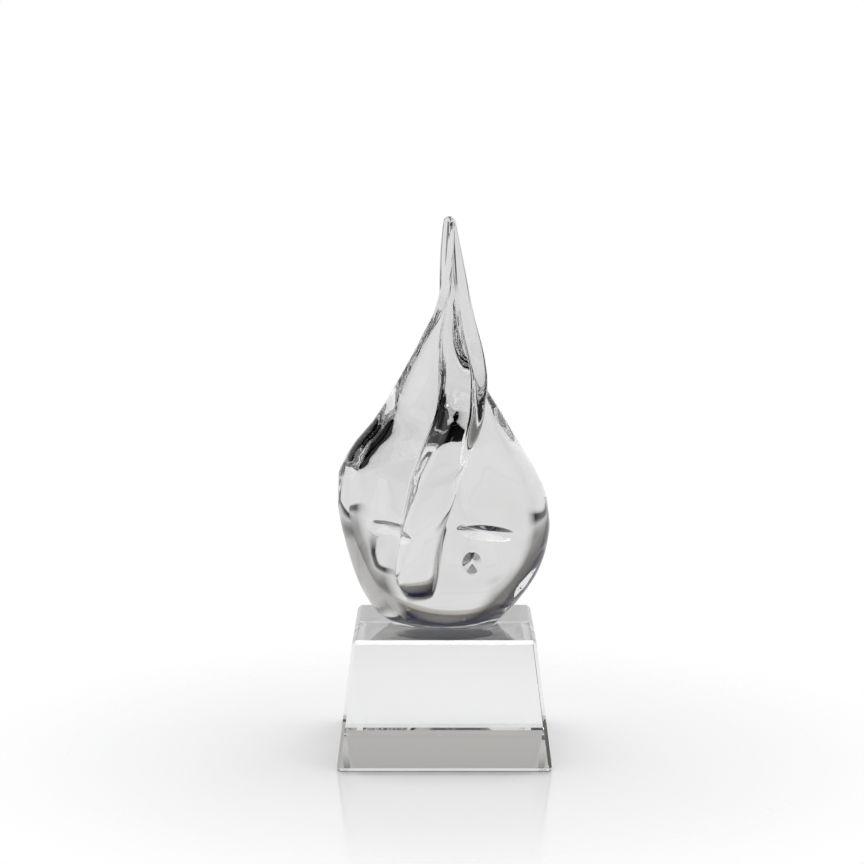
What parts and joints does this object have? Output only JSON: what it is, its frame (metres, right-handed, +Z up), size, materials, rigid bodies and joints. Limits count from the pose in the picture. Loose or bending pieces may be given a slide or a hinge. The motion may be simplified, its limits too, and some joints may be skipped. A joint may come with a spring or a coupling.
{
  "type": "crystal award",
  "caption": "Solid clear crystal flame, twisted into a point with three flowing fins, bonded upright on a bevelled clear crystal block.",
  "frame": {"origin": "centre of the block's underside, on the surface that the award stands on", "axes": "+Z up, -Y is the front, where the narrow front fin starts, +X is to the right seen from the front"},
  "size_m": [0.1019, 0.0996, 0.254],
  "materials": {
    "block_crystal": "water-clear crystal, ground flat and polished, with bright chamfered edges",
    "clear_adhesive": "clear cured optical adhesive, matched to the crystal",
    "flame_crystal": "water-clear crystal, hand-worked hot and fire polished"
  },
  "bodies": {
    "root": {"base_block": "block_crystal", "adhesive_bond": "clear_adhesive", "flame": "flame_crystal"}
  },
  "joints": []
}
